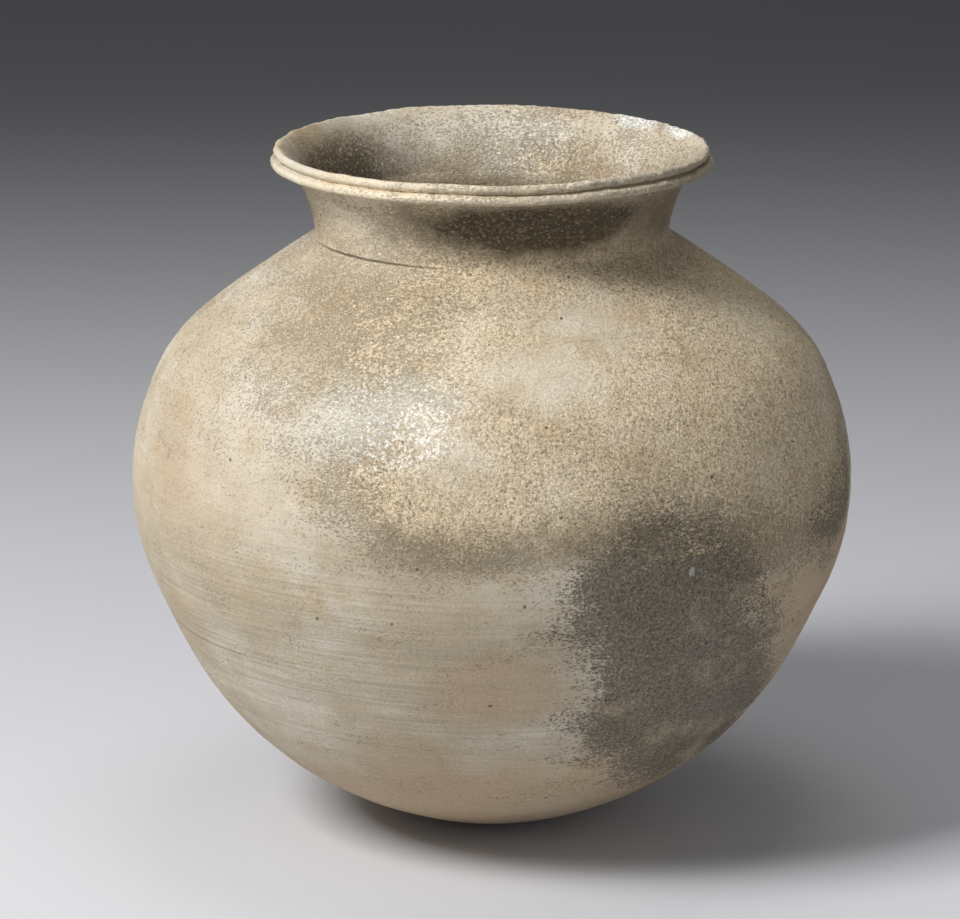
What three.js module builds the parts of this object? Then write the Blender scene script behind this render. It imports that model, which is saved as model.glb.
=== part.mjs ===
// A large coil-built stoneware jar with a rounded belly, a narrow foot, a short neck and a flared mouth.
// Millimetres, +Z up, origin at the middle of the flat foot. The jar is one fired body of clay pieces that
// the potter joined one on another: a base disc, wall coils, a neck collar, a mouth flare and a rim band.
import * as THREE from 'three';

// Driving sizes of the outside
const FOOT_RADIUS = 26;
const FOOT_RISE_DEG = 16.5;
const FLANK_RADIUS = 161.8;
const FLANK_HEIGHT = 111.1;
const FLANK_LEAN_DEG = 24.3;
const BELLY_RADIUS = 180;
const BELLY_HEIGHT = 178.5;
const SHOULDER_RADIUS = 162.4;
const SHOULDER_HEIGHT = 238.4;
const SHOULDER_LEAN_DEG = 33.5;
const NECK_FOOT_RADIUS = 90.4;
const NECK_FOOT_HEIGHT = 297;
const NECK_FOOT_LEAN_DEG = 56.3;
const WAIST_RADIUS = 87.1;
const WAIST_RISE = 4.5;
const WAIST_FLARE_DEG = 8;
const LIP_RADIUS = 106.4;
const MOUTH_RISE = 38.5;
const LIP_FLARE_DEG = 50;

// Curve handles, as lengths along each curve's end direction
const FOOT_PULL = 56.5;
const FLANK_PULL_BELOW = 79.8;
const FLANK_PULL_ABOVE = 22.3;
const BELLY_PULL_BELOW = 29.5;
const BELLY_PULL_ABOVE = 23.5;
const SHOULDER_PULL_BELOW = 10.9;
const SHOULDER_PULL_ABOVE = 16.9;
const NECK_FOOT_PULL = 61.5;
const NECK_FILLET_PULL = 2;
const WAIST_PULL = 17;
const LIP_PULL = 14;

// Clay thickness
const BASE_THICKNESS = 9;
const WALL_THICKNESS = 7;
const LIP_THICKNESS = 4;
const BASE_THINNING_LENGTH = 130;

// How the clay pieces meet
const BASE_REACH = 52;
const COIL_COUNT = 8;
const COLLAR_WIDTH = 23.4;
const SCARF_LAP = 6;
const SLIP_GAP = 0.3;

// Rim band under the lip: its edge is set from the lip, its seat is measured down the flare
const BAND_STEP_OUT = 0.6;
const BAND_DROP = 3.8;
const BAND_EDGE_ROUND = 2;
const BAND_SEAT_START = 2.5;
const BAND_SEAT_WIDTH = 9.8;

// Fineness of the facets
const AROUND = 48;
const STEPS_PER_PIECE = 3;
const LIP_STEPS = 5;

const radians = THREE.MathUtils.degToRad;

// A direction given by its lean from upright, positive outwards
function leaning(degrees) {
  return new THREE.Vector2(Math.sin(radians(degrees)), Math.cos(radians(degrees)));
}

// A curve from one point to another that leaves and arrives in given directions
function sweep(start, leave, leavePull, end, arrive, arrivePull) {
  const first = start.clone().addScaledVector(leave, leavePull);
  const second = end.clone().addScaledVector(arrive, -arrivePull);
  return new THREE.CubicBezierCurve(start, first, second, end);
}

// The whole outside, from the edge of the foot to the lip
function outsideCurve() {
  const foot = new THREE.Vector2(FOOT_RADIUS, 0);
  const flank = new THREE.Vector2(FLANK_RADIUS, FLANK_HEIGHT);
  const belly = new THREE.Vector2(BELLY_RADIUS, BELLY_HEIGHT);
  const shoulder = new THREE.Vector2(SHOULDER_RADIUS, SHOULDER_HEIGHT);
  const neckFoot = new THREE.Vector2(NECK_FOOT_RADIUS, NECK_FOOT_HEIGHT);
  const waist = new THREE.Vector2(WAIST_RADIUS, NECK_FOOT_HEIGHT + WAIST_RISE);
  const lip = new THREE.Vector2(LIP_RADIUS, waist.y + MOUTH_RISE);
  const up = leaning(0);
  const rise = leaning(90 - FOOT_RISE_DEG);
  const flankWay = leaning(FLANK_LEAN_DEG);
  const shoulderWay = leaning(-SHOULDER_LEAN_DEG);
  const neckWay = leaning(-NECK_FOOT_LEAN_DEG);
  const waistWay = leaning(WAIST_FLARE_DEG);
  const path = new THREE.CurvePath();
  path.add(sweep(foot, rise, FOOT_PULL, flank, flankWay, FLANK_PULL_BELOW));
  path.add(sweep(flank, flankWay, FLANK_PULL_ABOVE, belly, up, BELLY_PULL_BELOW));
  path.add(sweep(belly, up, BELLY_PULL_ABOVE, shoulder, shoulderWay, SHOULDER_PULL_BELOW));
  path.add(sweep(shoulder, shoulderWay, SHOULDER_PULL_ABOVE, neckFoot, neckWay, NECK_FOOT_PULL));
  path.add(sweep(neckFoot, neckWay, NECK_FILLET_PULL, waist, waistWay, NECK_FILLET_PULL));
  path.add(sweep(waist, waistWay, WAIST_PULL, lip, leaning(LIP_FLARE_DEG), LIP_PULL));
  return path;
}

const outside = outsideCurve();
const lengths = outside.getCurveLengths();
const wholeLength = outside.getLength();
const neckFootAt = lengths[3];
const mouthJointAt = neckFootAt + COLLAR_WIDTH;

function outerPoint(at) {
  return outside.getPoint(THREE.MathUtils.clamp(at / wholeLength, 0, 1));
}

// The way into the clay, square to the outside
function inward(at) {
  const way = outside.getTangent(THREE.MathUtils.clamp(at / wholeLength, 0, 1));
  return new THREE.Vector2(-way.y, way.x);
}

function thickness(at) {
  if (at > neckFootAt) {
    return THREE.MathUtils.lerp(WALL_THICKNESS, LIP_THICKNESS, (at - neckFootAt) / (wholeLength - neckFootAt));
  }
  return THREE.MathUtils.lerp(BASE_THICKNESS, WALL_THICKNESS, Math.min(at / BASE_THINNING_LENGTH, 1));
}

function innerPoint(at) {
  return outerPoint(at).addScaledVector(inward(at), thickness(at));
}

function between(from, to, steps) {
  return Array.from({ length: steps + 1 }, (_, step) => from + ((to - from) * step) / steps);
}

const clay = new THREE.MeshStandardMaterial({ color: 0xb9a488, roughness: 0.9, metalness: 0 });
const ash = new THREE.MeshStandardMaterial({ color: 0x8d8064, roughness: 0.85, metalness: 0 });
const rimClay = new THREE.MeshStandardMaterial({ color: 0x9a8c78, roughness: 0.85, metalness: 0 });

// A ring or disc turned about the upright axis from its section, standing along +Z
function turned(name, section, material) {
  const geometry = new THREE.LatheGeometry(section, AROUND);
  geometry.rotateX(Math.PI / 2);
  const mesh = new THREE.Mesh(geometry, material);
  mesh.name = name;
  return mesh;
}

// One ring of clay. Its top and bottom are scarfs: the inner edge lies lower than the outer one
function wallRing(name, from, to, material) {
  const low = from + SLIP_GAP / 2;
  const high = to - SLIP_GAP / 2;
  const outer = between(low, high, STEPS_PER_PIECE).map(outerPoint);
  const inner = between(high - SCARF_LAP, low - SCARF_LAP, STEPS_PER_PIECE).map(innerPoint);
  return turned(name, [...outer, ...inner, outer[0]], material);
}

// The flat disc that the jar stands on, turned up at its edge
function baseDisc() {
  const edge = BASE_REACH - SLIP_GAP / 2;
  const outer = between(0, edge, STEPS_PER_PIECE).map(outerPoint);
  const inner = between(edge - SCARF_LAP, 0, STEPS_PER_PIECE).map(innerPoint);
  const bottom = new THREE.Vector2(0, 0);
  const floor = new THREE.Vector2(0, inner.at(-1).y);
  return turned('base_disc', [bottom, ...outer, ...inner, floor], clay);
}

function wallCoils() {
  const joints = between(BASE_REACH, neckFootAt, COIL_COUNT);
  return joints.slice(1).map((top, index) => {
    const material = index < COIL_COUNT / 2 ? clay : ash;
    return wallRing(`wall_coil_${index + 1}`, joints[index], top, material);
  });
}

// The flared mouth, closed over the top by the rounded lip
function mouthFlare() {
  const low = mouthJointAt + SLIP_GAP / 2;
  const outer = between(low, wholeLength, STEPS_PER_PIECE + 1).map(outerPoint);
  const inner = between(wholeLength, low - SCARF_LAP, STEPS_PER_PIECE + 1).map(innerPoint);
  const round = LIP_THICKNESS / 2;
  const middle = outerPoint(wholeLength).addScaledVector(inward(wholeLength), round);
  const lip = between(0, 180, LIP_STEPS).slice(1, -1).map((turn) => {
    const way = leaning(LIP_FLARE_DEG + 90 - turn);
    return middle.clone().addScaledVector(way, round);
  });
  return turned('mouth_flare', [...outer, ...lip, ...inner, outer[0]], rimClay);
}

// The thin strip pressed on under the lip, with a groove left between the two
function rimBand() {
  const seatTop = wholeLength - BAND_SEAT_START;
  const seat = between(seatTop, seatTop - BAND_SEAT_WIDTH, 2).map((at) => {
    return outerPoint(at).addScaledVector(inward(at), -SLIP_GAP);
  });
  const lipEnd = outerPoint(wholeLength);
  const middle = new THREE.Vector2(lipEnd.x + BAND_STEP_OUT, lipEnd.y - BAND_DROP);
  const edge = between(180, 0, LIP_STEPS).map((turn) => {
    return middle.clone().addScaledVector(leaning(turn), BAND_EDGE_ROUND);
  });
  return turned('rim_band', [...edge, ...seat, edge[0]], rimClay);
}

const jar = new THREE.Group();
jar.add(baseDisc());
jar.add(...wallCoils());
jar.add(wallRing('neck_collar', neckFootAt, mouthJointAt, rimClay));
jar.add(mouthFlare());
jar.add(rimBand());

export default jar;
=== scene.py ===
"""A coil-built stoneware jar with natural ash on its shoulder, on a plain pale floor.

Everything is in metres, +Z up, with the origin at the middle of the jar's flat foot. Only the sections
that the clay pieces are turned from are in millimetres, as (radius, height).
"""

import logging
import math
from dataclasses import dataclass, field
from enum import Enum

import bmesh
import bpy
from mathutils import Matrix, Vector, noise


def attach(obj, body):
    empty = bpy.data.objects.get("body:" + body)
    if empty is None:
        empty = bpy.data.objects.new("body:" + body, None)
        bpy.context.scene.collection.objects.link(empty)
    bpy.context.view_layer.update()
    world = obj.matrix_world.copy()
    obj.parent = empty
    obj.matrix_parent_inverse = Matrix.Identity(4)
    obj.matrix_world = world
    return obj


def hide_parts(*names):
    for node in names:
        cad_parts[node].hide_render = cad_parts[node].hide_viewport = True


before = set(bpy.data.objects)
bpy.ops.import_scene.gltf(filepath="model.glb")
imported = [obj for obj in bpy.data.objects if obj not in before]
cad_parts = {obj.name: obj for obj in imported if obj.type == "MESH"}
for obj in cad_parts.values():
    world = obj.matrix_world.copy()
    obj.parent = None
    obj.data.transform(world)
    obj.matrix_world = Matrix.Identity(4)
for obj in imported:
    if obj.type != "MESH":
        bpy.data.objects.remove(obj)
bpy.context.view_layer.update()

log = logging.getLogger("jar")

Socket = bpy.types.NodeSocket
Pair = tuple[float, float]
Triple = tuple[float, float, float]
Colour = tuple[float, float, float]

BODY = "root"
MM = 0.001
NECK_FOOT_HEIGHT = 0.2985
UNSTRETCHED: Triple = (1.0, 1.0, 1.0)


class Slot(Enum):
    """The record's material slots."""

    LOWER = "lower_clay"
    SHOULDER = "shoulder_clay"
    MOUTH = "mouth_clay"


@dataclass(frozen=True)
class Sweep:
    """A cubic curve in the section plane (radius, height), in millimetres."""

    start: Vector
    leave: Vector
    arrive: Vector
    end: Vector

    def point(self, share: float) -> Vector:
        """Returns the point at a share of the curve's parameter."""
        rest = 1 - share
        return (
            self.start * rest**3
            + self.leave * (3 * share * rest**2)
            + self.arrive * (3 * share**2 * rest)
            + self.end * share**3
        )


@dataclass(frozen=True)
class Stop:
    """A place that the outside line passes through, and how it leans there.

    The lean is the line's angle from upright, positive outwards, and the pulls are the lengths of the
    curve's handles below and above the place.
    """

    radius: float
    height: float
    lean: float
    pull_below: float = 0.0
    pull_above: float = 0.0

    @property
    def place(self) -> Vector:
        """Returns the place in the section plane."""
        return Vector((self.radius, self.height))

    def sweep_to(self, upper: "Stop") -> Sweep:
        """Returns the curve from this stop to the next one up."""
        leave = self.place + leaning(self.lean) * self.pull_above
        return Sweep(self.place, leave, upper.place - leaning(upper.lean) * upper.pull_below, upper.place)


def leaning(degrees: float) -> Vector:
    """Returns the direction that leans from upright by an angle, positive outwards."""
    return Vector((math.sin(math.radians(degrees)), math.cos(math.radians(degrees))))


def held(value: float) -> float:
    """Returns a value held between 0 and 1."""
    return min(max(value, 0.0), 1.0)


def spread(start: float, end: float, pitch: float) -> list[float]:
    """Returns evenly spaced values from start to end, about a pitch apart."""
    steps = max(2, round(abs(end - start) / pitch))
    return [start + (end - start) * step / steps for step in range(steps + 1)]


def fractal(place: Vector, size: float, octaves: int = 3) -> float:
    """Returns smooth noise of about -1 to 1 whose largest waves have a given size in metres."""
    return noise.fractal(place / size, 0.6, 2.0, octaves)


@dataclass
class WallProfile:
    """The jar's outside as one line with its length measured along it, and the clay's thickness."""

    foot: Stop = Stop(26.0, 0.0, 73.5, pull_above=56.5)
    flank: Stop = Stop(161.8, 111.1, 24.3, 79.8, 22.3)
    belly: Stop = Stop(180.0, 178.5, 0.0, 29.5, 23.5)
    shoulder: Stop = Stop(162.4, 238.4, -33.5, 10.9, 16.9)
    neck_foot: Stop = Stop(90.4, 297.0, -56.3, 61.5, 2.0)
    waist: Stop = Stop(87.1, 301.5, 8.0, 2.0, 17.0)
    lip: Stop = Stop(106.4, 340.0, 50.0, pull_below=14.0)
    base_thickness: float = 9.0
    wall_thickness: float = 7.0
    lip_thickness: float = 4.0
    base_thinning: float = 130.0
    samples_per_curve: int = 240
    points: list[Vector] = field(default_factory=list)
    lengths: list[float] = field(default_factory=list)
    neck_foot_at: float = 0.0

    def __post_init__(self) -> None:
        """Samples the curves from stop to stop and measures the length along them."""
        stops = [self.foot, self.flank, self.belly, self.shoulder, self.neck_foot, self.waist, self.lip]
        self.points, self.lengths = [self.foot.place], [0.0]
        for lower, upper in zip(stops, stops[1:]):
            curve = lower.sweep_to(upper)
            for step in range(1, self.samples_per_curve + 1):
                point = curve.point(step / self.samples_per_curve)
                self.lengths.append(self.lengths[-1] + (point - self.points[-1]).length)
                self.points.append(point)
            if upper is self.neck_foot:
                self.neck_foot_at = self.lengths[-1]

    @property
    def whole(self) -> float:
        """Returns the whole length of the outside line."""
        return self.lengths[-1]

    def _index(self, at: float) -> int:
        """Finds the stretch of the line that holds a length.

        Args:
            at: Length along the line.

        Returns:
            The number of the sample that starts the stretch.
        """
        low, high = 0, len(self.lengths) - 2
        while low < high:
            middle = (low + high + 1) // 2
            if self.lengths[middle] <= at:
                low = middle
            else:
                high = middle - 1
        return low

    def outer(self, at: float) -> Vector:
        """Finds the outside point at a length along the line.

        Args:
            at: Length along the line, held to its ends.

        Returns:
            The point.
        """
        at = min(max(at, 0.0), self.whole)
        i = self._index(at)
        share = (at - self.lengths[i]) / max(self.lengths[i + 1] - self.lengths[i], 1e-9)
        return self.points[i].lerp(self.points[i + 1], share)

    def inward(self, at: float, reach: float = 1.0) -> Vector:
        """Returns the direction into the clay, square to the outside."""
        way = (self.outer(at + reach) - self.outer(at - reach)).normalized()
        return Vector((-way.y, way.x))

    def thickness(self, at: float) -> float:
        """Finds how thick the clay is, thinner from the base up and again towards the lip.

        Args:
            at: Length along the outside line.

        Returns:
            The thickness.
        """
        if at > self.neck_foot_at:
            share = (at - self.neck_foot_at) / (self.whole - self.neck_foot_at)
            return self.wall_thickness + (self.lip_thickness - self.wall_thickness) * share
        share = held(at / self.base_thinning)
        return self.base_thickness + (self.wall_thickness - self.base_thickness) * share

    def inner(self, at: float) -> Vector:
        """Returns the inside point that lies square behind an outside length."""
        return self.outer(at) + self.inward(at) * self.thickness(at)

    def at_height(self, height: float) -> float:
        """Finds where the line reaches a height above the neck's foot.

        Args:
            height: The height.

        Returns:
            The length along the line.
        """
        for point, length in zip(self.points, self.lengths):
            if length >= self.neck_foot_at and point.y >= height:
                return length
        return self.whole


@dataclass
class HandShaping:
    """The small waves, wheel lines and ash crumbs that a hand-built, wood-fired surface has."""

    wave_size: float = 0.11
    wave_height: float = 0.0009
    dent_size: float = 0.03
    dent_height: float = 0.00028
    line_pitch: float = 0.0042
    line_height: float = 0.00016
    line_length: float = 6.0
    line_seed: float = 7.0
    line_drift: float = 0.006
    line_drift_size: float = 0.12
    line_drift_squash: float = 0.2
    line_lost_in_crust: float = 0.7
    crumb_size: float = 0.0042
    crumb_height: float = 0.0006
    crumb_peak: float = 1.5
    fine_crumb_size: float = 0.45
    fine_crumb_share: float = 0.35
    bare_clay_crumbs: float = 0.12
    crust_foot: float = 0.195
    crust_rise: float = 0.035
    crust_left: float = -0.06
    crust_left_width: float = 0.06
    crust_left_share: float = 0.25
    neck_crust_share: float = 0.5
    foot_height: float = 0.02
    mouth_foot: float = 0.31
    mouth_rise: float = 0.034
    rim_wave: float = 0.00054
    rim_wave_turn: float = 0.7
    rim_unevenness: float = 1.2
    rim_unevenness_size: float = 0.06
    rim_dent: float = 0.0008
    rim_dent_size: float = 0.011
    rim_dent_lift: float = 0.5
    crack_height: float = 0.2992
    crack_depth: float = 0.0008
    crack_half_width: float = 0.0008
    crack_waver: float = 0.0002
    crack_waver_size: float = 0.008
    crack_span: Pair = (-66.0, -22.0)
    crack_taper: float = 8.0

    def crust(self, place: Vector) -> float:
        """Finds how thickly the ash lies at a place.

        Args:
            place: The place on the jar.

        Returns:
            The thickness, from 0 to 1.
        """
        height = held((place.z - self.crust_foot) / self.crust_rise)
        side = held((place.x - self.crust_left) / self.crust_left_width)
        cover = height * (self.crust_left_share + (1 - self.crust_left_share) * side)
        return cover * (1.0 if place.z < NECK_FOOT_HEIGHT else self.neck_crust_share)

    def crack(self, place: Vector) -> float:
        """Finds how deep the open seam at the neck's foot is at a place.

        Args:
            place: The place on the jar.

        Returns:
            The depth, from 0 to 1.
        """
        turn = math.degrees(math.atan2(place.x, -place.y))
        low, high = self.crack_span
        waver = self.crack_waver * noise.noise(place / self.crack_waver_size)
        across = 1 - abs(place.z - self.crack_height - waver) / self.crack_half_width
        along = min((turn - low) / self.crack_taper, (high - turn) / self.crack_taper, 1.0)
        return max(across, 0.0) * max(along, 0.0)

    def move(self, place: Vector, normal: Vector, outside: bool) -> Vector:
        """Moves one point of the turned surface to where the hand and the fire left it.

        Args:
            place: The point on the turned surface.
            normal: The way out of the clay there.
            outside: False on the inside, which has no crumbs or lines.

        Returns:
            The new place.
        """
        out = Vector((place.x, place.y, 0)).normalized()
        fade = min(place.z / self.foot_height, 1.0)
        shift = self.wave_height * fractal(place, self.wave_size, 2)
        shift += self.dent_height * fractal(place, self.dent_size, 2)
        moved = place + out * shift * fade
        if place.z > self.mouth_foot:
            moved += self._rim(place, out)
        if outside:
            moved += normal * self._surface(place) * fade
            moved -= out * self.crack_depth * self.crack(place)
        return moved

    def _rim(self, place: Vector, out: Vector) -> Vector:
        """Finds how far the uneven mouth lies from a true ring.

        Args:
            place: The point on the turned surface.
            out: The level way out there.

        Returns:
            The way to move the point.
        """
        lift = (place.z - self.mouth_foot) / self.mouth_rise
        turn = math.atan2(place.x, -place.y)
        wave = math.sin(2 * turn + self.rim_wave_turn)
        wave += self.rim_unevenness * fractal(Vector((place.x, place.y, 0)), self.rim_unevenness_size, 3)
        dent = self.rim_dent * lift * fractal(place, self.rim_dent_size, 3)
        return Vector((0, 0, self.rim_wave * wave * lift)) + (out + Vector((0, 0, self.rim_dent_lift))) * dent

    def _surface(self, place: Vector) -> float:
        """Finds the height of the wheel lines and the ash crumbs.

        Args:
            place: The point on the turned surface.

        Returns:
            The height, square to the clay.
        """
        crust = self.crust(place)
        squashed = Vector((place.x, place.y, place.z * self.line_drift_squash))
        drift = fractal(squashed, self.line_drift_size, 2) * self.line_drift
        line_place = (self.line_seed, place.x * self.line_length, (place.z + drift) / self.line_pitch)
        line = noise.noise(Vector(line_place)) * (1 - self.line_lost_in_crust * crust)
        lump = noise.noise(place / self.crumb_size)
        fine = noise.noise(place / (self.crumb_size * self.fine_crumb_size))
        crumbs = max(lump, 0.0) ** self.crumb_peak + self.fine_crumb_share * fine
        return self.line_height * line + self.crumb_height * crumbs * (self.bare_clay_crumbs + crust)


@dataclass
class ClayPiece:
    """One piece of clay, turned from a closed section and then shaped by hand."""

    name: str
    slot: Slot
    outer: list[Vector]
    inner: list[Vector]
    turns: int = 480
    shaping: HandShaping = field(default_factory=HandShaping)
    on_axis: bool = False
    start_radius: float = 0.1
    merge_distance: float = 1e-5
    axis_distance: float = 1e-7
    smooth_angle: float = 50.0
    outside_reach: float = 0.5
    belly_height: float = 0.1785
    crown_rise: float = 0.12

    def build(self) -> bpy.types.Object:
        """Spins the section round the axis and shapes what comes out.

        Returns:
            The finished piece, at the origin.
        """
        section = self.outer + self.inner
        bpy.ops.object.select_all(action="DESELECT")
        bpy.ops.mesh.primitive_circle_add(vertices=len(section), radius=self.start_radius, location=(0, 0, 0))
        piece = bpy.context.object
        piece.name = piece.data.name = self.name
        for vertex, spot in zip(piece.data.vertices, section):
            vertex.co = (0, -spot.x * MM, spot.y * MM)
        if self.on_axis:
            self._open_on_axis(piece)
        bpy.ops.object.mode_set(mode="EDIT")
        bpy.ops.mesh.select_all(action="SELECT")
        bpy.ops.mesh.spin(steps=self.turns, angle=math.tau, center=(0, 0, 0), axis=(0, 0, 1))
        bpy.ops.mesh.select_all(action="SELECT")
        bpy.ops.mesh.remove_doubles(threshold=self.merge_distance)
        bpy.ops.mesh.normals_make_consistent(inside=False)
        bpy.ops.object.mode_set(mode="OBJECT")
        self._shape(piece)
        bpy.ops.object.shade_smooth_by_angle(angle=math.radians(self.smooth_angle))
        return piece

    def _open_on_axis(self, piece: bpy.types.Object) -> None:
        """Takes out the edge that closes the section along the axis.

        Args:
            piece: The section, before it is spun.
        """
        section = bmesh.new()
        section.from_mesh(piece.data)
        on_axis = [e for e in section.edges if all(abs(v.co.y) < self.axis_distance for v in e.verts)]
        bmesh.ops.delete(section, geom=on_axis, context="EDGES")
        section.to_mesh(piece.data)
        section.free()

    def _shape(self, piece: bpy.types.Object) -> None:
        """Moves each point by the hand shaping, the outside further than the inside.

        Args:
            piece: The turned piece.
        """
        line = sorted((spot.y, spot.x) for spot in self.outer)
        for vertex in piece.data.vertices:
            place = vertex.co.copy()
            outside = self._is_outside(line, math.hypot(place.x, place.y) / MM, place.z / MM)
            vertex.co = self.shaping.move(place, self._way_out(place), outside)
        piece.data.update()

    def _is_outside(self, line: list[Pair], radius: float, height: float) -> bool:
        """Returns whether a point lies on the outside line, by its radius at its height."""
        nearest = min(line, key=lambda spot: (spot[0] - height) ** 2 + (spot[1] - radius) ** 2)
        return math.hypot(nearest[0] - height, nearest[1] - radius) < self.outside_reach

    def _way_out(self, place: Vector) -> Vector:
        """Finds the way out of the clay at a place, the same for both pieces at a joint.

        Args:
            place: The point on the turned surface.

        Returns:
            The direction, of length 1.
        """
        radius = math.hypot(place.x, place.y)
        if radius < 1e-6:
            return Vector((0, 0, -1))
        lift = min(max((place.z - self.belly_height) / self.crown_rise, -1.0), 1.0)
        rise = lift if place.z < NECK_FOOT_HEIGHT else 0
        return Vector((place.x / radius, place.y / radius, rise)).normalized()


@dataclass
class Jar:
    """All the clay pieces of the jar, from the foot up, in millimetres."""

    profile: WallProfile = field(default_factory=WallProfile)
    base_reach: float = 52.0
    foot_middle: float = 13.0
    foot_middle_inside: float = 12.0
    coil_count: int = 8
    mouth_joint: float = 318.0
    scarf: float = 6.0
    outer_pitch: float = 1.9
    inner_pitch: float = 6.0
    mouth_outer_pitch: float = 1.0
    mouth_inner_pitch: float = 1.5
    round_step: int = 20
    lip_turn: float = 140.0
    band_radius: float = 109.0
    band_height: float = 336.2
    band_round: float = 2.0
    band_seat: Pair = (332.0, 338.4)
    band_seat_pitch: float = 2.0
    band_sink: float = 0.4

    def ring(self, name: str, low: float, high: float, slot: Slot) -> ClayPiece:
        """Lays out one ring of the wall, lapped down inside the one below.

        Args:
            name: The piece's name.
            low: Where it starts along the outside line.
            high: Where it ends.
            slot: Its material slot.

        Returns:
            The piece, ready to build.
        """
        outer = [self.profile.outer(at) for at in spread(low, high, self.outer_pitch)]
        inside = spread(high - self.scarf, low - self.scarf, self.inner_pitch)
        return ClayPiece(name, slot, outer, [self.profile.inner(at) for at in inside])

    def base(self) -> ClayPiece:
        """Lays out the flat disc that the jar stands on.

        Returns:
            The piece, ready to build.
        """
        outer = [Vector((0, 0)), Vector((self.foot_middle, 0))]
        outer += [self.profile.outer(at) for at in spread(0, self.base_reach, self.outer_pitch)]
        inside = spread(self.base_reach - self.scarf, 0, self.inner_pitch)
        inner = [self.profile.inner(at) for at in inside]
        floor = inner[-1].y
        inner += [Vector((self.foot_middle_inside, floor)), Vector((0, floor))]
        return ClayPiece("clay_base", Slot.LOWER, outer, inner, on_axis=True)

    def mouth(self) -> ClayPiece:
        """Lays out the flared mouth, closed over the top by its rounded lip.

        Returns:
            The piece, ready to build.
        """
        low, whole = self.profile.at_height(self.mouth_joint), self.profile.whole
        outer = [self.profile.outer(at) for at in spread(low, whole, self.mouth_outer_pitch)]
        inner = [self.profile.inner(at) for at in spread(whole, low - self.scarf, self.mouth_inner_pitch)]
        rounding = self.profile.lip_thickness / 2
        middle = outer[-1] + self.profile.inward(whole) * rounding
        turns = range(self.round_step, 180, self.round_step)
        lip = [middle + leaning(self.lip_turn - turn) * rounding for turn in turns]
        return ClayPiece("mouth", Slot.MOUTH, outer + lip, inner)

    def band(self) -> ClayPiece:
        """Lays out the strip under the lip.

        Returns:
            The piece, ready to build.
        """
        middle = Vector((self.band_radius - self.band_round, self.band_height))
        edge = [middle + leaning(turn) * self.band_round for turn in range(180, -1, -self.round_step)]
        seat = []
        for height in spread(self.band_seat[1], self.band_seat[0], self.band_seat_pitch):
            at = self.profile.at_height(height)
            seat.append(self.profile.outer(at) + self.profile.inward(at) * self.band_sink)
        return ClayPiece("rim_strip", Slot.MOUTH, edge, seat)

    def build(self, skin: "JarSkin") -> None:
        """Builds, dresses and mounts every piece.

        Args:
            skin: The jar's finish.
        """
        neck_foot = self.profile.neck_foot_at
        joints = spread(self.base_reach, neck_foot, (neck_foot - self.base_reach) / self.coil_count)
        pieces = [(self.base(), "base_disc")]
        for number in range(self.coil_count):
            slot = Slot.LOWER if number < self.coil_count / 2 else Slot.SHOULDER
            coil = self.ring(f"coil_{number + 1}", joints[number], joints[number + 1], slot)
            pieces.append((coil, f"wall_coil_{number + 1}"))
        mouth_at = self.profile.at_height(self.mouth_joint)
        pieces.append((self.ring("neck", neck_foot, mouth_at, Slot.MOUTH), "neck_collar"))
        pieces.append((self.mouth(), "mouth_flare"))
        pieces.append((self.band(), "rim_band"))
        for clay, node in pieces:
            piece = clay.build()
            piece.data.materials.append(skin.material)
            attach(piece, BODY)
            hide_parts(node)
            log.info("%s: %d points", piece.name, len(piece.data.vertices))


@dataclass(frozen=True)
class Spot:
    """A patch on the jar.

    It has a place, a reach along each axis, the softness and raggedness of its edge, the fineness of
    that raggedness, and how strong the patch is.
    """

    place: Triple
    reach: Triple
    softness: float = 0.3
    ragged: float = 0.35
    ragged_scale: float = 30.0
    amount: float = 1.0


@dataclass(frozen=True)
class Break:
    """How a soft patch breaks up into islands at its edge.

    Coarse and fine say how far the finger-sized blotches and the ash crumbs move the edge, and width
    is the softness that is left.
    """

    coarse: float
    fine: float
    width: float


@dataclass(frozen=True)
class Grain:
    """A noise in the clay: how fine it is, its detail and roughness, and how it is stretched by axis."""

    scale: float
    detail: float
    rough: float = 0.6
    stretch: Triple = UNSTRETCHED


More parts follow.
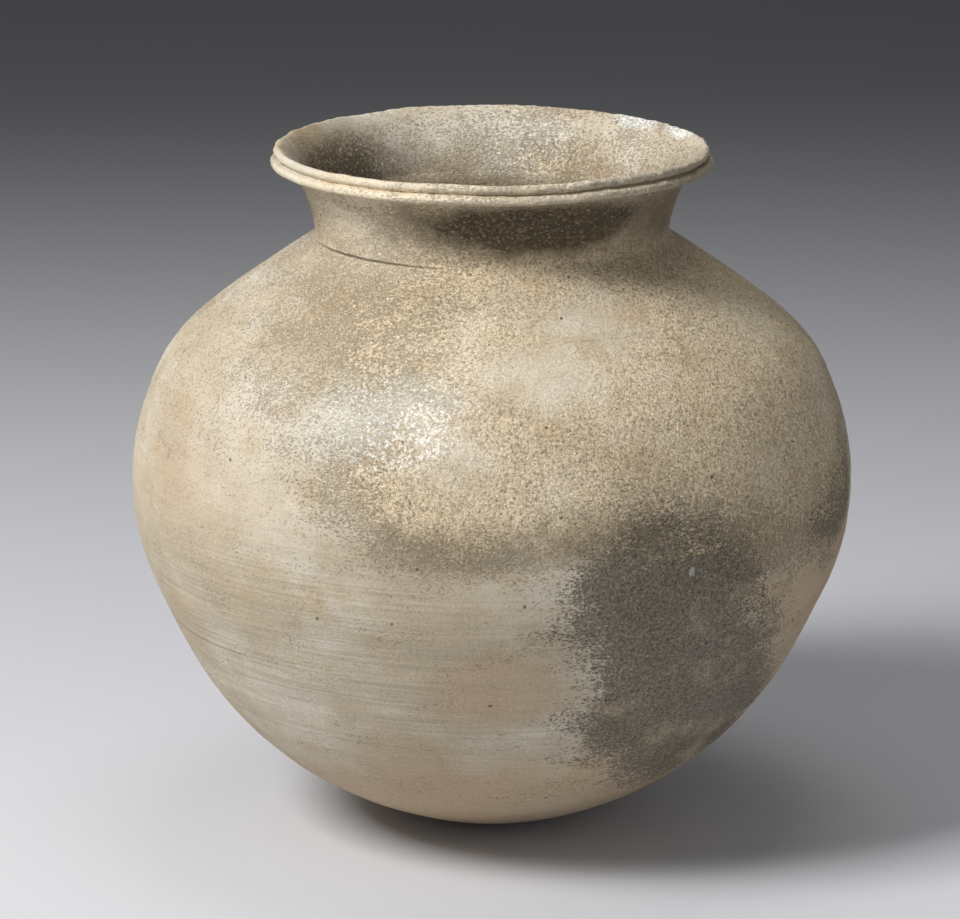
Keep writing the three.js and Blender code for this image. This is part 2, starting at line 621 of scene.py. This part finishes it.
@dataclass(frozen=True)
class Patches:
    """Where the fire, the ash and the kiln's smoke marked the jar."""

    smoke: tuple[Spot, ...] = (
        Spot((-0.09, -0.15, 0.13), (0.14, 0.12, 0.055), 0.7, 0.3, 12, 0.5),
        Spot((0.0, -0.15, 0.075), (0.12, 0.12, 0.04), 0.8, 0.3, 14, 0.35),
    )
    warm: tuple[Spot, ...] = (
        Spot((0.006, -0.163, 0.113), (0.03, 0.04, 0.022), 0.6, 0.3, 26, 0.7),
        Spot((-0.02, -0.11, 0.035), (0.13, 0.12, 0.035), 0.9, 0.3, 14, 0.7),
        Spot((-0.139, -0.109, 0.201), (0.06, 0.06, 0.03), 0.9, 0.35, 18, 0.35),
        Spot((0.072, -0.094, 0.048), (0.07, 0.08, 0.028), 0.6, 0.35, 20, 0.8),
        Spot((0.16, -0.07, 0.12), (0.06, 0.09, 0.05), 0.8, 0.35, 16, 0.6),
        Spot((0.135, -0.115, 0.185), (0.035, 0.05, 0.026), 0.9, 0.3, 30, 0.7),
    )
    flash: tuple[Spot, ...] = (
        Spot((0.084, -0.155, 0.158), (0.050, 0.10, 0.058), 0.8, 0.06, 30),
        Spot((0.094, -0.125, 0.096), (0.054, 0.10, 0.064), 0.8, 0.06, 30),
        Spot((0.166, -0.07, 0.188), (0.03, 0.05, 0.034), 1.0, 0.1, 22),
        Spot((-0.02, 0.17, 0.12), (0.12, 0.08, 0.08), 1.0, 0.1, 20),
    )
    flash_edge: Break = Break(coarse=1.3, fine=2.6, width=0.16)
    crust: tuple[Spot, ...] = (
        Spot((0.088, -0.10, 0.264), (0.160, 0.17, 0.080), 0.9, 0.08, 26),
        Spot((0.006, -0.165, 0.219), (0.076, 0.09, 0.042), 0.8, 0.10, 34),
        Spot((0.13, -0.10, 0.225), (0.09, 0.09, 0.055), 1.0, 0.05, 24),
        Spot((0.06, 0.09, 0.25), (0.17, 0.15, 0.075), 1.0, 0.1, 22),
    )
    crust_edge: Break = Break(coarse=1.2, fine=2.8, width=0.20)
    sparse_ash: tuple[Spot, ...] = (
        Spot((-0.105, -0.07, 0.262), (0.10, 0.12, 0.05), 0.8, 0.3, 30, 0.85),
        Spot((-0.09, 0.09, 0.262), (0.12, 0.12, 0.05), 0.8, 0.3, 30, 0.6),
    )
    bare_clay: tuple[Spot, ...] = (
        Spot((0.025, -0.140, 0.260), (0.026, 0.03, 0.016), 0.9, 0.3, 60, 0.9),
        Spot((0.046, -0.112, 0.276), (0.028, 0.03, 0.012), 0.9, 0.3, 60, 0.9),
        Spot((-0.048, -0.153, 0.242), (0.034, 0.03, 0.016), 0.9, 0.3, 60, 0.6),
        Spot((-0.020, -0.168, 0.224), (0.02, 0.03, 0.014), 0.9, 0.3, 60, 0.7),
    )
    pale: tuple[Spot, ...] = (
        Spot((0.0, -0.104, 0.338), (0.125, 0.05, 0.006), 0.8, 0.25, 70, 0.75),
        Spot((-0.062, -0.062, 0.314), (0.045, 0.045, 0.018), 0.9, 0.4, 50, 0.45),
    )
    # The first two are sooty streaks just under the ash; the rest are painted shade.
    soot_and_painted_shade: tuple[Spot, ...] = (
        Spot((-0.012, -0.176, 0.186), (0.045, 0.04, 0.009), 1.2, 0.7, 80, 0.4),
        Spot((0.045, -0.172, 0.190), (0.05, 0.05, 0.010), 1.2, 0.7, 70, 0.4),
        # Painted shade: under the rim at the front, on the left wall inside the mouth, in the throat and on
        # the neck's right side.
        Spot((0.026, -0.085, 0.319), (0.066, 0.04, 0.014), 0.6, 0.25, 60, 0.97),
        Spot((-0.078, 0.035, 0.320), (0.042, 0.06, 0.022), 0.9, 0.25, 60, 0.95),
        Spot((0.0, 0.082, 0.304), (0.085, 0.04, 0.009), 0.9, 0.35, 60, 0.55),
        Spot((0.085, -0.04, 0.318), (0.04, 0.06, 0.016), 0.9, 0.25, 60, 0.6),
    )
    chips: tuple[Spot, ...] = (
        Spot((0.074, 0.073, 0.342), (0.014, 0.014, 0.004), 0.5, 0.3, 90, 0.8),
        Spot((0.096, 0.045, 0.342), (0.010, 0.014, 0.003), 0.5, 0.3, 90, 0.8),
        Spot((0.094, -0.153, 0.169), (0.0016, 0.0020, 0.0026), 0.3, 0.25, 300, 0.35),
    )
    seam: tuple[Spot, ...] = (
        Spot((-0.060, -0.064, 0.2992), (0.040, 0.045, 0.0005), 0.6, 0.05, 90, 0.8),
    )
    # Painted highlights, partly glassy specks of melted ash: pale specks where the key light's reflection
    # falls, on the front-left shoulder and on the back wall inside the mouth.
    glass_specks_and_painted_highlights: tuple[Spot, ...] = (
        Spot((-0.048, -0.153, 0.240), (0.036, 0.04, 0.020), 0.6, 0.25, 40, 1.0),
        Spot((0.017, 0.092, 0.328), (0.024, 0.03, 0.013), 0.8, 0.25, 40, 0.9),
    )


@dataclass(frozen=True)
class Palette:
    """The jar's colours, as linear values."""

    buff: Colour = (0.53, 0.44, 0.31)
    cream: Colour = (0.66, 0.60, 0.485)
    tan: Colour = (0.50, 0.36, 0.20)
    salmon: Colour = (0.50, 0.37, 0.24)
    ash: Colour = (0.72, 0.57, 0.37)
    ash_mid: Colour = (0.55, 0.43, 0.27)
    ash_dark: Colour = (0.27, 0.20, 0.115)
    ash_pale: Colour = (0.84, 0.72, 0.53)
    flash: Colour = (0.21, 0.185, 0.14)
    flash_dark: Colour = (0.115, 0.10, 0.075)
    smoke: Colour = (0.34, 0.30, 0.23)
    # Sooty dark; also the colour of the painted shade round the mouth, and of the open seam and the pinholes.
    soot_and_painted_shade: Colour = (0.10, 0.075, 0.045)
    # Pale glassy white of the chips, also used for the painted highlights.
    glass_and_highlight: Colour = (0.90, 0.88, 0.81)


@dataclass(frozen=True)
class Grains:
    """The noises that the skin is made of, from the finest to the broadest."""

    fine: Grain = Grain(1300, 2, 0.75)
    sand: Grain = Grain(620, 4, 0.72)
    crumbs: Grain = Grain(210, 5, 0.72)
    blotch: Grain = Grain(34, 5, 0.62)
    cloud: Grain = Grain(16, 5)
    pitted: Grain = Grain(22, 2)
    streak: Grain = Grain(4.0, 5, 0.62, (2.2, 2.2, 60.0))
    thin_streak: Grain = Grain(3.0, 4, 0.6, (5.0, 5.0, 260.0))
    edge_blotch: Grain = Grain(30, 7, 0.68, (1.0, 1.0, 2.2))
    edge_crumb: Grain = Grain(560, 4, 0.78, (1.0, 1.0, 1.8))


class Shader:
    """Short ways to add nodes to a tree."""

    def __init__(self, tree: bpy.types.NodeTree) -> None:
        """Keeps the tree."""
        self.tree = tree

    def node(self, kind: str, **settings: object) -> bpy.types.Node:
        """Adds a node.

        Args:
            kind: The node's type.
            **settings: Its properties.

        Returns:
            The node.
        """
        made = self.tree.nodes.new(kind)
        for key, value in settings.items():
            setattr(made, key, value)
        return made

    def link(self, source: Socket, target: Socket) -> None:
        """Links two sockets."""
        self.tree.links.new(source, target)

    def put(self, target: Socket, value: object) -> None:
        """Links a socket, or sets a plain value.

        Args:
            target: The socket that takes the value.
            value: Another socket, or a plain value.
        """
        if isinstance(value, bpy.types.NodeSocket):
            self.link(value, target)
        else:
            target.default_value = value

    def combine(self, kind: str, first: Socket, second: Socket) -> Socket:
        """Adds a Vector Math node.

        Args:
            kind: Its operation.
            first: The first vector.
            second: The second vector.

        Returns:
            The resulting vector.
        """
        made = self.node("ShaderNodeVectorMath", operation=kind)
        self.link(first, made.inputs[0])
        self.link(second, made.inputs[1])
        return made.outputs[0]

    def math(self, operation: str, first: object, second: object = 0.0, clamp: bool = False) -> Socket:
        """Adds a Math node.

        Args:
            operation: Its operation.
            first: The first value or socket.
            second: The second value or socket.
            clamp: True to hold the result between 0 and 1.

        Returns:
            The result.
        """
        made = self.node("ShaderNodeMath", operation=operation, use_clamp=clamp)
        self.put(made.inputs[0], first)
        self.put(made.inputs[1], second)
        return made.outputs[0]

    def times(self, first: object, second: object) -> Socket:
        """Returns the product of two values."""
        return self.math("MULTIPLY", first, second)

    def less(self, first: object, second: object) -> Socket:
        """Returns the first value less the second."""
        return self.math("SUBTRACT", first, second)

    def plus(self, first: object, second: object) -> Socket:
        """Returns the sum of two values."""
        return self.math("ADD", first, second)

    def noise(self, place: Socket, scale: object, detail: float, rough: float) -> Socket:
        """Adds a Noise Texture node.

        Args:
            place: Where it is read.
            scale: How fine it is.
            detail: Its detail.
            rough: Its roughness.

        Returns:
            The noise, of 0 to 1.
        """
        made = self.node("ShaderNodeTexNoise")
        self.link(place, made.inputs["Vector"])
        self.put(made.inputs["Scale"], scale)
        made.inputs["Detail"].default_value = detail
        made.inputs["Roughness"].default_value = rough
        return made.outputs["Fac"]

    def ramp(self, value: Socket, low: float, high: float) -> Socket:
        """Turns a value smoothly into a mask.

        Args:
            value: The value.
            low: Where the mask is 0.
            high: Where the mask is 1.

        Returns:
            The mask.
        """
        made = self.node("ShaderNodeMapRange", interpolation_type="SMOOTHSTEP")
        self.link(value, made.inputs["Value"])
        made.inputs["From Min"].default_value = low
        made.inputs["From Max"].default_value = high
        return made.outputs["Result"]

    def mix(self, share: object, under: object, over: object) -> Socket:
        """Lays one colour over another.

        Args:
            share: How much of the upper colour shows.
            under: The lower colour, plain or as a socket.
            over: The upper colour, plain or as a socket.

        Returns:
            The mixed colour.
        """
        made = self.node("ShaderNodeMix", data_type="RGBA")
        self.put(made.inputs[0], share)
        for socket, value in ((made.inputs[6], under), (made.inputs[7], over)):
            self.put(socket, value if isinstance(value, bpy.types.NodeSocket) else (*value, 1.0))
        return made.outputs[2]

    def tint(self, under: object, over: object, value: Socket, low: float, high: float,
             share: float = 1.0) -> Socket:
        """Lays a colour over another where a value is high.

        Args:
            under: The lower colour.
            over: The upper colour.
            value: The value that says where.
            low: The value at which the upper colour starts to show.
            high: The value at which it shows most.
            share: How much of it shows there.

        Returns:
            The mixed colour.
        """
        return self.mix(self.times(self.ramp(value, low, high), share), under, over)


@dataclass(frozen=True)
class RaggedPatch:
    """The node group that masks one ragged patch round a place."""

    detail: float = 7.0
    rough: float = 0.68
    swing: float = 4.0
    inputs: tuple[tuple[str, str], ...] = (
        ("Position", "NodeSocketVector"),
        ("Centre", "NodeSocketVector"),
        ("Reach", "NodeSocketVector"),
        ("Softness", "NodeSocketFloat"),
        ("Raggedness", "NodeSocketFloat"),
        ("Ragged Scale", "NodeSocketFloat"),
    )

    def group(self) -> bpy.types.NodeTree:
        """Builds the group.

        Returns:
            The group, with a Mask output of 0 to 1.
        """
        tree = bpy.data.node_groups.new("ragged_patch", "ShaderNodeTree")
        for name, kind in self.inputs:
            tree.interface.new_socket(name, in_out="INPUT", socket_type=kind)
        tree.interface.new_socket("Mask", in_out="OUTPUT", socket_type="NodeSocketFloat")
        b = Shader(tree)
        given = b.node("NodeGroupInput").outputs
        result = b.node("NodeGroupOutput")
        away = b.combine("SUBTRACT", given["Position"], given["Centre"])
        share = b.combine("DIVIDE", away, given["Reach"])
        length = b.node("ShaderNodeVectorMath", operation="LENGTH")
        b.link(share, length.inputs[0])
        wave = b.noise(given["Position"], given["Ragged Scale"], self.detail, self.rough)
        bent = b.times(b.less(wave, 0.5), given["Raggedness"])
        distance = b.plus(length.outputs["Value"], b.times(bent, self.swing))
        soft = b.math("DIVIDE", b.less(1.0, distance), given["Softness"])
        b.link(b.math("ADD", soft, 0.5, clamp=True), result.inputs["Mask"])
        return tree


@dataclass(frozen=True)
class SkinFinish:
    """How strong the skin's layers, gloss and relief are."""

    flash_share: float = 0.93
    crust_share: float = 0.85
    bare_share: float = 0.85
    # How strongly the painted highlights show.
    painted_highlight_share: float = 0.85
    pit_share: float = 0.8
    pit_scale: float = 75.0
    pit_size: Pair = (0.035, 0.075)
    pit_area: Pair = (0.52, 0.6)
    shade_on_clay: float = 0.55
    shade_on_ash: float = 0.9
    roughness: float = 0.9
    glint_gloss: float = 0.55
    ash_gloss: float = 0.22
    specular: float = 0.35
    bump_strength: float = 0.75
    bump_distance: float = 0.0012
    sand_on_clay: float = 0.45
    sand_on_ash: float = 1.3
    crumb_relief: float = 0.8
    fine_relief: float = 0.3
    streak_relief: float = 0.25
    pit_depth: float = 1.2


class JarSkin:
    """One continuous finish for the whole jar, so that nothing breaks at the joints."""

    def __init__(self, palette: Palette, patches: Patches, grains: Grains, finish: SkinFinish) -> None:
        """Builds the material.

        Args:
            palette: The colours.
            patches: The places of the marks.
            grains: The noises.
            finish: The strengths.
        """
        self.palette, self.patches, self.grains, self.finish = palette, patches, grains, finish
        self.material = bpy.data.materials.new("jar_skin")
        self.material.use_nodes = True
        tree = self.material.node_tree
        self.principled = tree.nodes["Principled BSDF"]
        self.build = Shader(tree)
        self.patch_group = RaggedPatch().group()
        self.place = self.build.node("ShaderNodeTexCoord").outputs["Object"]
        self.fine, self.sand = self.texture(grains.fine), self.texture(grains.sand)
        self.crumbs, self.blotch = self.texture(grains.crumbs), self.texture(grains.blotch)
        self.cloud, self.thin_streak = self.texture(grains.cloud), self.texture(grains.thin_streak)
        self._paint()

    def texture(self, grain: Grain) -> Socket:
        """Adds one of the noises.

        Args:
            grain: What it is like.

        Returns:
            The noise, of 0 to 1.
        """
        place = self.place
        if grain.stretch != UNSTRETCHED:
            mapping = self.build.node("ShaderNodeMapping")
            self.build.link(self.place, mapping.inputs["Vector"])
            mapping.inputs["Scale"].default_value = grain.stretch
            place = mapping.outputs["Vector"]
        return self.build.noise(place, grain.scale, grain.detail, grain.rough)

    def patch(self, spot: Spot) -> Socket:
        """Adds the mask of one patch.

        Args:
            spot: The patch.

        Returns:
            The mask.
        """
        made = self.build.node("ShaderNodeGroup", node_tree=self.patch_group)
        self.build.link(self.place, made.inputs["Position"])
        made.inputs["Centre"].default_value = spot.place
        made.inputs["Reach"].default_value = spot.reach
        made.inputs["Softness"].default_value = spot.softness
        made.inputs["Raggedness"].default_value = spot.ragged
        made.inputs["Ragged Scale"].default_value = spot.ragged_scale
        return self.build.times(made.outputs["Mask"], spot.amount)

    def any_of(self, spots: tuple[Spot, ...]) -> Socket:
        """Adds the strongest mask of several patches.

        Args:
            spots: The patches.

        Returns:
            The mask.
        """
        masks = [self.patch(spot) for spot in spots]
        result = masks[0]
        for mask in masks[1:]:
            result = self.build.math("MAXIMUM", result, mask)
        return result

    def broken(self, mask: Socket, edge: Break) -> Socket:
        """Breaks a soft mask up into ragged islands by the clay's noises.

        Args:
            mask: The soft mask.
            edge: How its edge breaks up.

        Returns:
            The mask with a ragged edge.
        """
        b = self.build
        blotch = b.less(self.texture(self.grains.edge_blotch), 0.5)
        crumb = b.less(self.texture(self.grains.edge_crumb), 0.5)
        bent = b.plus(b.plus(mask, b.times(blotch, edge.coarse)), b.times(crumb, edge.fine))
        return b.ramp(bent, 0.5 - edge.width, 0.5 + edge.width)

    def _paint(self) -> None:
        """Lays the colours over one another and sets gloss and relief."""
        colour = self._clay()
        colour, flash = self._flashed(colour)
        colour, cover = self._ashed(colour)
        colour = self._marked(colour)
        colour, speck_and_highlight = self._lay_specks_and_painted_highlights(colour)
        colour, pit = self._pitted(colour)
        self._shade(colour, self.build.math("MAXIMUM", cover, flash))
        self._gloss(speck_and_highlight, cover)
        self._relief(cover, pit)

    def _clay(self) -> Socket:
        """Lays the bare clay: cream and buff clouds, tan blotches and streaks, smoke and warm patches.

        Returns:
            The colour.
        """
        b, p = self.build, self.palette
        colour = b.tint(p.buff, p.cream, self.cloud, low=0.38, high=0.66)
        colour = b.tint(colour, p.tan, self.blotch, low=0.5, high=0.72, share=0.5)
        colour = b.tint(colour, p.tan, self.texture(self.grains.streak), low=0.5, high=0.75, share=0.35)
        smoke = b.times(self.any_of(self.patches.smoke), b.ramp(self.thin_streak, low=0.36, high=0.66))
        colour = b.mix(smoke, colour, p.smoke)
        return b.mix(self.any_of(self.patches.warm), colour, p.salmon)

    def _flashed(self, colour: Socket) -> tuple[Socket, Socket]:
        """Lays the grey patches where smoke was held against the wall.

        Args:
            colour: The colour under them.

        Returns:
            The new colour, and the mask of the patches.
        """
        b, p = self.build, self.palette
        flash = self.broken(self.any_of(self.patches.flash), self.patches.flash_edge)
        grey = b.tint(p.flash_dark, p.flash, self.sand, low=0.36, high=0.64)
        grey = b.tint(grey, p.ash, self.fine, low=0.60, high=0.72, share=0.45)
        grey = b.tint(grey, p.ash, self.blotch, low=0.5, high=0.7, share=0.3)
        return b.mix(b.times(flash, self.finish.flash_share), colour, grey), flash

    def _ashed(self, colour: Socket) -> tuple[Socket, Socket]:
        """Lays the ash crust, and the loose ash at its left.

        Args:
            colour: The colour under it.

        Returns:
            The new colour, and the mask of the ash.
        """
        b, p = self.build, self.palette
        crust = self.broken(self.any_of(self.patches.crust), self.patches.crust_edge)
        ash = b.tint(p.ash_mid, p.ash, self.crumbs, low=0.34, high=0.54)
        hollows = b.less(1.0, b.ramp(self.sand, low=0.36, high=0.5))
        ash = b.mix(b.times(hollows, 0.8), ash, p.ash_dark)
        ash = b.tint(ash, p.ash_pale, self.fine, low=0.50, high=0.66, share=0.8)
        ash = b.tint(ash, p.tan, self.blotch, low=0.5, high=0.66, share=0.45)
        ash = b.tint(ash, p.ash_pale, self.cloud, low=0.52, high=0.68, share=0.5)
        bare = b.times(self.any_of(self.patches.bare_clay), self.finish.bare_share)
        cover = b.times(crust, b.less(1.0, bare))
        loose = b.times(self.any_of(self.patches.sparse_ash), self._speck())
        cover = b.math("MAXIMUM", cover, loose)
        return b.mix(b.times(cover, self.finish.crust_share), colour, ash), cover

    def _speck(self) -> Socket:
        """Returns the mask of single ash specks."""
        return self.build.ramp(self.sand, low=0.56, high=0.64)

    def _marked(self, colour: Socket) -> Socket:
        """Lays the pale lip, sooty streaks, the painted shade in and round the mouth, the glassy chips and
        the open seam.

        Args:
            colour: The colour under them.

        Returns:
            The new colour.
        """
        b, p = self.build, self.palette
        colour = b.mix(self.any_of(self.patches.pale), colour, p.ash_pale)
        # Sooty streaks, and painted shade under the rim, on the neck's right side and inside the mouth.
        soot_and_painted_shade = b.times(self.any_of(self.patches.soot_and_painted_shade), b.ramp(self.sand, low=0.28, high=0.52))
        colour = b.mix(soot_and_painted_shade, colour, p.soot_and_painted_shade)
        colour = b.mix(self.any_of(self.patches.chips), colour, p.glass_and_highlight)
        return b.mix(self.any_of(self.patches.seam), colour, p.soot_and_painted_shade)

    def _lay_specks_and_painted_highlights(self, colour: Socket) -> tuple[Socket, Socket]:
        """Lays pale glassy specks, partly melted ash and partly painted highlights where the key light
        reflects.

        Args:
            colour: The colour under them.

        Returns:
            The new colour, and the mask of the specks and painted highlights.
        """
        b = self.build
        # Painted highlights: pale glassy specks mixed into the colour.
        speck_and_highlight = b.times(self.any_of(self.patches.glass_specks_and_painted_highlights), b.ramp(self.sand, low=0.50, high=0.58))
        return b.mix(b.times(speck_and_highlight, self.finish.painted_highlight_share), colour, self.palette.glass_and_highlight), speck_and_highlight

    def _pitted(self, colour: Socket) -> tuple[Socket, Socket]:
        """Lays the pinholes.

        Args:
            colour: The colour under them.

        Returns:
            The new colour, and the mask of the pinholes.
        """
        b, f = self.build, self.finish
        holes = b.node("ShaderNodeTexVoronoi", feature="F1")
        b.link(self.place, holes.inputs["Vector"])
        holes.inputs["Scale"].default_value = f.pit_scale
        pit = b.less(1.0, b.ramp(holes.outputs["Distance"], *f.pit_size))
        pit = b.times(pit, b.ramp(self.texture(self.grains.pitted), *f.pit_area))
        return b.mix(b.times(pit, f.pit_share), colour, self.palette.soot_and_painted_shade), pit

    def _shade(self, colour: Socket, rough_places: Socket) -> None:
        """Varies the brightness from grain to grain and sets the colour.

        Args:
            colour: The finished colour.
            rough_places: The mask of the places with the strongest grain.
        """
        b, f = self.build, self.finish
        strength = b.plus(b.times(rough_places, f.shade_on_ash), f.shade_on_clay)
        shade = b.times(b.less(b.plus(self.fine, self.sand), 1.0), strength)
        value = b.node("ShaderNodeHueSaturation")
        b.link(colour, value.inputs["Color"])
        b.link(b.plus(shade, 1.0), value.inputs["Value"])
        b.link(value.outputs["Color"], self.principled.inputs["Base Color"])

    def _gloss(self, speck_and_highlight: Socket, cover: Socket) -> None:
        """Sets the roughness.

        Args:
            speck_and_highlight: The mask of the glassy specks and painted highlights.
            cover: The mask of the ash.
        """
        b, f = self.build, self.finish
        rough = b.less(f.roughness, b.times(speck_and_highlight, f.glint_gloss))
        rough = b.less(rough, b.times(cover, b.times(self._speck(), f.ash_gloss)))
        b.link(rough, self.principled.inputs["Roughness"])
        self.principled.inputs["Specular IOR Level"].default_value = f.specular

    def _relief(self, cover: Socket, pit: Socket) -> None:
        """Sets the bump of the grains, streaks and pinholes.

        Args:
            cover: The mask of the ash.
            pit: The mask of the pinholes.
        """
        b, f = self.build, self.finish
        height = b.times(self.sand, b.plus(b.times(cover, f.sand_on_ash), f.sand_on_clay))
        height = b.plus(height, b.times(self.crumbs, b.times(cover, f.crumb_relief)))
        height = b.plus(height, b.times(self.fine, f.fine_relief))
        height = b.plus(height, b.times(self.thin_streak, f.streak_relief))
        height = b.less(height, b.times(pit, f.pit_depth))
        bump = b.node("ShaderNodeBump")
        bump.inputs["Strength"].default_value = f.bump_strength
        bump.inputs["Distance"].default_value = f.bump_distance
        b.link(height, bump.inputs["Height"])
        b.link(bump.outputs["Normal"], self.principled.inputs["Normal"])


@dataclass(frozen=True)
class Lamp:
    """A square lamp: its place, size and power in watts."""

    place: Triple
    size: float
    power: float


@dataclass
class Studio:
    """The floor, lamps, world and camera."""

    lens: float = 175.2
    sensor: float = 36.0
    camera_place: Triple = (0.0, -2.26393, 0.77488)
    camera_reach: float = 50.0
    pitch_down: float = 14.6498
    yaw_left: float = 0.1508
    floor_size: float = 9.0
    backdrop_start: float = 1.0
    backdrop_rise: Triple = (0, 1.5, 5)
    cove_width: float = 2.0
    cove_steps: int = 24
    floor_colour: Colour = (0.62, 0.62, 0.64)
    # Painted shade: the paper darkens to this towards the back.
    painted_shade_colour: Colour = (0.125, 0.126, 0.129)
    painted_shade_span: Pair = (0.0, 2.2)
    floor_roughness: float = 0.95
    key: Lamp = Lamp((-1.5, -1.05, 2.0), 0.9, 72)
    fill: Lamp = Lamp((1.8, -1.6, 1.0), 1.6, 4)
    top: Lamp = Lamp((0.1, 0.3, 2.3), 1.2, 9)
    lamp_target: Triple = (0, 0, 0.17)
    air_colour: Colour = (0.9, 0.93, 1.0)
    air_strength: float = 0.20

    def floor(self) -> None:
        """Adds a floor that curves up into a backdrop."""
        bpy.ops.object.select_all(action="DESELECT")
        bpy.ops.mesh.primitive_plane_add(size=self.floor_size, location=(0, 0, 0))
        floor = bpy.context.object
        floor.name = "studio_floor"
        bpy.ops.object.mode_set(mode="EDIT")
        bpy.ops.mesh.select_all(action="DESELECT")
        bpy.ops.object.mode_set(mode="OBJECT")
        for edge in floor.data.edges:
            edge.select = all(floor.data.vertices[i].co.y > self.backdrop_start for i in edge.vertices)
        bpy.ops.object.mode_set(mode="EDIT")
        bpy.ops.mesh.select_mode(type="EDGE")
        bpy.ops.mesh.extrude_region_move(TRANSFORM_OT_translate={"value": self.backdrop_rise})
        bpy.ops.object.mode_set(mode="OBJECT")
        bevel = floor.modifiers.new("cove", "BEVEL")
        bevel.width, bevel.segments, bevel.limit_method = self.cove_width, self.cove_steps, "ANGLE"
        bpy.ops.object.modifier_apply(modifier=bevel.name)
        bpy.ops.object.shade_smooth()
        floor.data.materials.append(self.paper())

    def paper(self) -> bpy.types.Material:
        """Builds the floor's finish, with painted shade: it darkens towards the back, standing in for the dim
        backdrop and part of the jar's shadow.

        Returns:
            The material.
        """
        paper = bpy.data.materials.new("floor_paper")
        paper.use_nodes = True
        shader = paper.node_tree.nodes["Principled BSDF"]
        build = Shader(paper.node_tree)
        split = build.node("ShaderNodeSeparateXYZ")
        build.link(build.node("ShaderNodeTexCoord").outputs["Object"], split.inputs["Vector"])
        # Painted shade: darker towards the back.
        fade = build.ramp(split.outputs["Y"], *self.painted_shade_span)
        build.link(build.mix(fade, self.floor_colour, self.painted_shade_colour), shader.inputs["Base Color"])
        shader.inputs["Roughness"].default_value = self.floor_roughness
        return paper

    def hang(self, name: str, lamp: Lamp) -> None:
        """Adds a lamp that faces the middle of the jar.

        Args:
            name: Its name.
            lamp: Its place, size and power.
        """
        bpy.ops.object.light_add(type="AREA", location=lamp.place)
        made = bpy.context.object
        made.name = name
        made.data.size = lamp.size
        made.data.energy = lamp.power
        way = Vector(self.lamp_target) - Vector(lamp.place)
        made.rotation_euler = way.to_track_quat("-Z", "Y").to_euler()

    def build(self) -> None:
        """Adds everything round the jar."""
        self.floor()
        self.hang("key", self.key)
        self.hang("fill", self.fill)
        self.hang("top", self.top)
        world = bpy.data.worlds.new("studio_air")
        world.use_nodes = True
        world.node_tree.nodes["Background"].inputs["Color"].default_value = (*self.air_colour, 1)
        world.node_tree.nodes["Background"].inputs["Strength"].default_value = self.air_strength
        bpy.context.scene.world = world
        bpy.ops.object.camera_add(location=self.camera_place)
        camera = bpy.context.object
        camera.rotation_euler = (math.radians(90 - self.pitch_down), 0, math.radians(self.yaw_left))
        camera.data.lens = self.lens
        camera.data.sensor_width = self.sensor
        camera.data.sensor_fit = "HORIZONTAL"
        camera.data.clip_end = self.camera_reach
        bpy.context.scene.camera = camera
        bpy.context.scene.view_settings.view_transform = "Standard"


def main() -> None:
    """Builds the studio and the jar."""
    logging.basicConfig(level=logging.INFO)
    Studio().build()
    Jar().build(JarSkin(Palette(), Patches(), Grains(), SkinFinish()))


if __name__ == "__main__":
    main()
